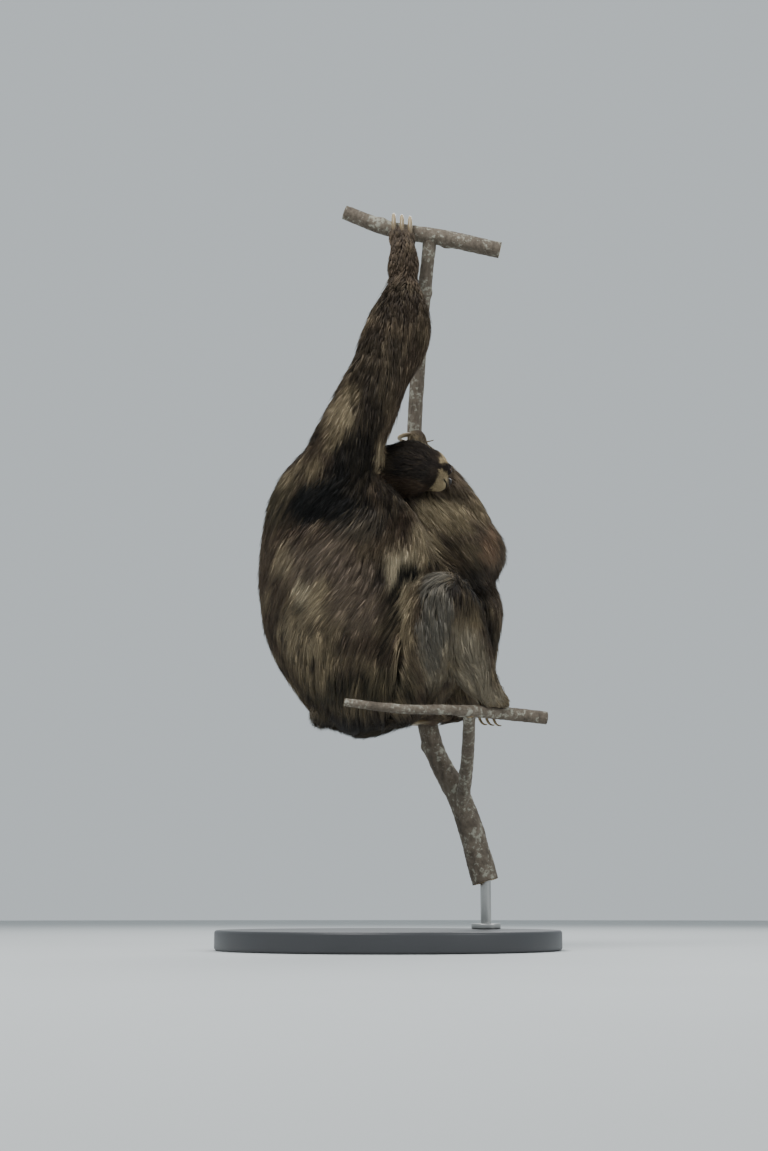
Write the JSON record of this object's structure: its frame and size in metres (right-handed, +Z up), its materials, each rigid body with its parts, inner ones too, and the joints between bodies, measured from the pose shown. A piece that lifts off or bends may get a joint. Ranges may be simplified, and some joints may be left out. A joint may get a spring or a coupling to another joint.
{
  "type": "three-toed sloth model",
  "caption": "Life-size three-toed sloth in long shaggy fur, sitting upright and hugging a cut branch with one arm raised over a limb, on a round display base.",
  "frame": {"origin": "middle of the underside of the round base", "axes": "+Z up, +X towards the animal's belly and the way the head faces, +Y towards the stem behind it"},
  "size_m": [0.5, 0.5, 1.1452],
  "materials": {
    "coat": "long coarse shaggy hair, grey brown with pale and dark patches",
    "nose": "bare black skin, slightly moist",
    "eye": "dark brown, wet gloss",
    "claw": "horn, yellowish brown, worn smooth",
    "bark": "grey brown bark with pale lichen, sawn ends",
    "stand_wood": "satin dark grey paint",
    "stand_steel": "brushed steel"
  },
  "bodies": {
    "root": {"trunk": "coat", "neck": "coat", "head": "coat", "tail": "coat", "upper_arm_right": "coat", "upper_arm_left": "coat", "forearm_right": "coat", "forearm_left": "coat", "hand_right": "coat", "hand_left": "coat", "thigh_right": "coat", "thigh_left": "coat", "shin_right": "coat", "shin_left": "coat", "foot_right": "coat", "foot_left": "coat", "nose": "nose", "eye_right": "eye", "eye_left": "eye", "claw_hand_right_1": "claw", "claw_hand_right_2": "claw", "claw_hand_right_3": "claw", "claw_hand_left_1": "claw", "claw_hand_left_2": "claw", "claw_hand_left_3": "claw", "claw_foot_right_1": "claw", "claw_foot_right_2": "claw", "claw_foot_right_3": "claw", "claw_foot_left_1": "claw", "claw_foot_left_2": "claw", "claw_foot_left_3": "claw", "perch_stem": "bark", "perch_limb": "bark", "perch_seat": "bark", "perch_fork": "bark", "stand_base": "stand_wood", "stand_rod": "stand_steel", "stand_collar": "stand_steel"}
  },
  "joints": []
}
